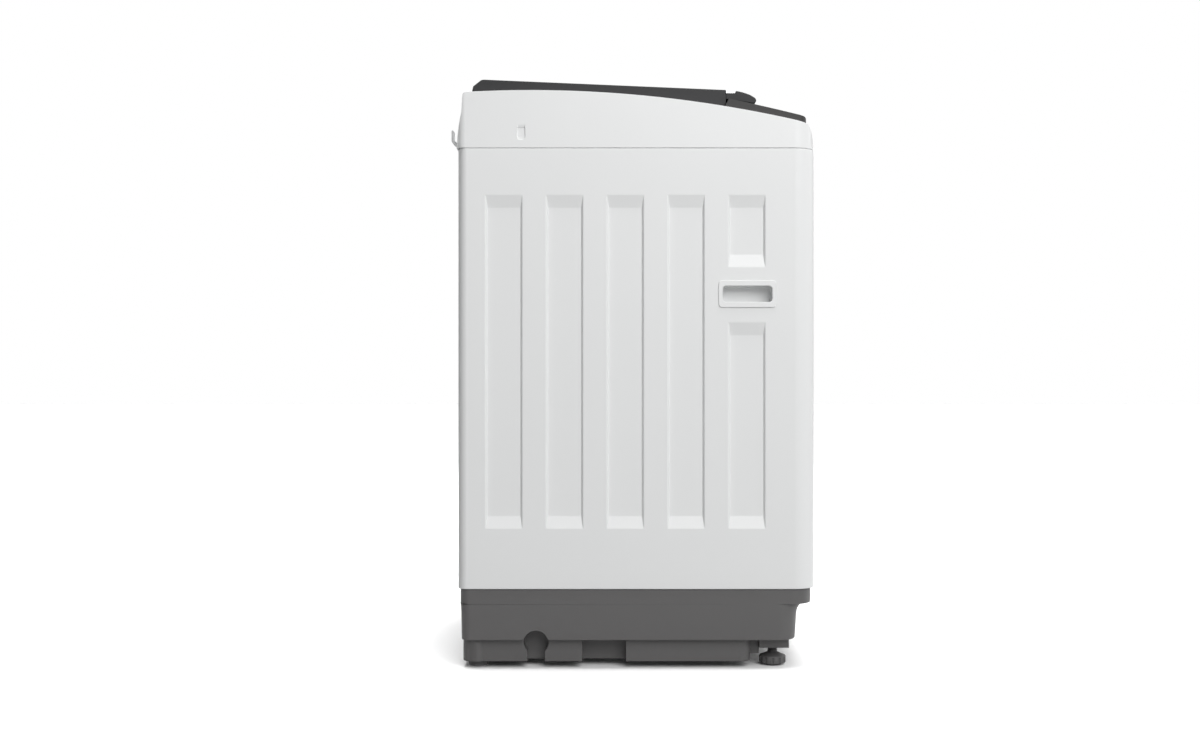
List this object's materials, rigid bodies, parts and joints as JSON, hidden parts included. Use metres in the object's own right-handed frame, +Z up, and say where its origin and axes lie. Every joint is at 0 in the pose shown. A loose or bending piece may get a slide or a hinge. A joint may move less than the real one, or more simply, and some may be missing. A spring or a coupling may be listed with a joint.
{
  "type": "top load washing machine",
  "caption": "Free-standing top load washing machine with grooved steel cabinet, hinged smoked-glass lid, sloping control panel, hung tub, basket and pulsator, and a plastic base on feet.",
  "frame": {"origin": "on the floor under the middle of the machine, hose hook included", "axes": "+Z up; -Y is the front with the control panel, +Y the rear with the hinge and hook; -X is the left side seen from the front, with the drain hose notch"},
  "size_m": [0.553, 0.587, 0.9396],
  "materials": {
    "painted_steel": "white baked enamel, satin gloss",
    "white_plastic": "satin moulded ABS",
    "dark_plastic": "satin dark grey",
    "panel_plastic": "satin dark grey",
    "button_plastic": "silver painted",
    "base_plastic": "fine-grained grey polypropylene",
    "smoked_glass": "smoked, polished",
    "chrome": "bright plated",
    "stainless": "stainless, satin",
    "zinc_steel": "zinc plated",
    "cast_aluminium": "as cast",
    "tub_plastic": "natural polypropylene",
    "pulsator_plastic": "grey polypropylene",
    "rubber": "black",
    "circuit_board": "green lacquer"
  },
  "bodies": {
    "cabinet": {"cabinet_shell": "painted_steel", "rear_panel": "zinc_steel", "cord_gland": "rubber", "base_frame": "base_plastic", "top_cover": "white_plastic", "hose_hook": "white_plastic", "dispenser_housing": "tub_plastic", "inlet_valve": "tub_plastic", "control_panel": "panel_plastic", "display_window": "smoked_glass", "control_board": "circuit_board", "water_level_sensor": "dark_plastic", "lid_switch": "dark_plastic", "grip_left": "white_plastic", "rear_foot_left": "rubber", "suspension_rod_front_left": "zinc_steel", "suspension_rod_rear_left": "zinc_steel", "grip_right": "white_plastic", "rear_foot_right": "rubber", "suspension_rod_front_right": "zinc_steel", "suspension_rod_rear_right": "zinc_steel"},
    "lid": {"lid_frame": "dark_plastic", "lid_glass": "smoked_glass", "lid_handle": "dark_plastic", "lid_trim": "chrome"},
    "tub": {"outer_tub": "tub_plastic", "tub_ring": "tub_plastic", "mounting_plate": "zinc_steel", "clutch_housing": "cast_aluminium", "motor": "cast_aluminium", "drive_belt": "rubber", "drain_valve": "tub_plastic", "drain_actuator": "dark_plastic", "spring_front_left": "zinc_steel", "spring_rear_left": "zinc_steel", "spring_front_right": "zinc_steel", "spring_rear_right": "zinc_steel"},
    "basket": {"wash_basket": "stainless", "balance_ring": "white_plastic", "basket_hub": "cast_aluminium", "lint_filter": "white_plastic"},
    "pulsator": {"pulsator": "pulsator_plastic", "pulsator_cap": "chrome"},
    "drive_pulley": {"drive_pulley": "cast_aluminium"},
    "motor_pulley": {"motor_pulley": "cast_aluminium"},
    "detergent_drawer": {"detergent_drawer": "white_plastic"},
    "front_foot_left": {"front_foot_left": "base_plastic"},
    "front_foot_right": {"front_foot_right": "base_plastic"},
    "power_button": {"power_button": "button_plastic"},
    "water_level_button": {"water_level_button": "button_plastic"},
    "temperature_button": {"temperature_button": "button_plastic"},
    "program_button": {"program_button": "button_plastic"},
    "delay_button": {"delay_button": "button_plastic"},
    "start_button": {"start_button": "button_plastic"}
  },
  "joints": [
    {"name": "lid_hinge", "type": "hinge", "parent": "cabinet", "child": "lid", "pos_m": [0, 0.245, 0.923], "axis": [-1, 0, 0], "range_deg": [0, 90]},
    {"name": "tub_bounce", "type": "slide", "parent": "cabinet", "child": "tub", "axis": [0, 0, 1], "range_m": [-0.025, 0.012], "stiffness_N_per_m": 16000, "springref_m": 0.0155, "deforming": ["spring_front_left", "spring_rear_left", "spring_front_right", "spring_rear_right"]},
    {"name": "basket_spin", "type": "hinge", "parent": "tub", "child": "basket", "pos_m": [0, -0.0085, 0.35], "axis": [0, 0, 1], "continuous": true},
    {"name": "pulsator_spin", "type": "hinge", "parent": "tub", "child": "pulsator", "pos_m": [0, -0.0085, 0.36], "axis": [0, 0, 1], "continuous": true},
    {"name": "drive_pulley_spin", "type": "hinge", "parent": "tub", "child": "drive_pulley", "pos_m": [0, -0.0085, 0.177], "axis": [0, 0, 1], "continuous": true},
    {"name": "motor_spin", "type": "hinge", "parent": "tub", "child": "motor_pulley", "pos_m": [0, 0.1415, 0.177], "axis": [0, 0, 1], "continuous": true},
    {"name": "drawer_slide", "type": "slide", "parent": "cabinet", "child": "detergent_drawer", "axis": [0, -1, 0], "range_m": [0, 0.055]},
    {"name": "front_foot_left_turn", "type": "hinge", "parent": "cabinet", "child": "front_foot_left", "pos_m": [-0.225, -0.229, 0.01], "axis": [0, 0, 1], "range_deg": [-360, 360]},
    {"name": "front_foot_right_turn", "type": "hinge", "parent": "cabinet", "child": "front_foot_right", "pos_m": [0.225, -0.229, 0.01], "axis": [0, 0, 1], "range_deg": [-360, 360]},
    {"name": "power_button_press", "type": "slide", "parent": "cabinet", "child": "power_button", "axis": [0, 0.2321, -0.9727], "range_m": [0, 0.0015], "stiffness_N_per_m": 400, "springref_m": -0.001},
    {"name": "water_level_button_press", "type": "slide", "parent": "cabinet", "child": "water_level_button", "axis": [0, 0.2321, -0.9727], "range_m": [0, 0.0015], "stiffness_N_per_m": 400, "springref_m": -0.001},
    {"name": "temperature_button_press", "type": "slide", "parent": "cabinet", "child": "temperature_button", "axis": [0, 0.2321, -0.9727], "range_m": [0, 0.0015], "stiffness_N_per_m": 400, "springref_m": -0.001},
    {"name": "program_button_press", "type": "slide", "parent": "cabinet", "child": "program_button", "axis": [0, 0.2321, -0.9727], "range_m": [0, 0.0015], "stiffness_N_per_m": 400, "springref_m": -0.001},
    {"name": "delay_button_press", "type": "slide", "parent": "cabinet", "child": "delay_button", "axis": [0, 0.2321, -0.9727], "range_m": [0, 0.0015], "stiffness_N_per_m": 400, "springref_m": -0.001},
    {"name": "start_button_press", "type": "slide", "parent": "cabinet", "child": "start_button", "axis": [0, 0.2321, -0.9727], "range_m": [0, 0.0015], "stiffness_N_per_m": 400, "springref_m": -0.001}
  ],
  "couplings": [
    {"joint": "drive_pulley_spin", "follows": "pulsator_spin", "ratio": 5},
    {"joint": "motor_spin", "follows": "pulsator_spin", "ratio": 14.583}
  ]
}
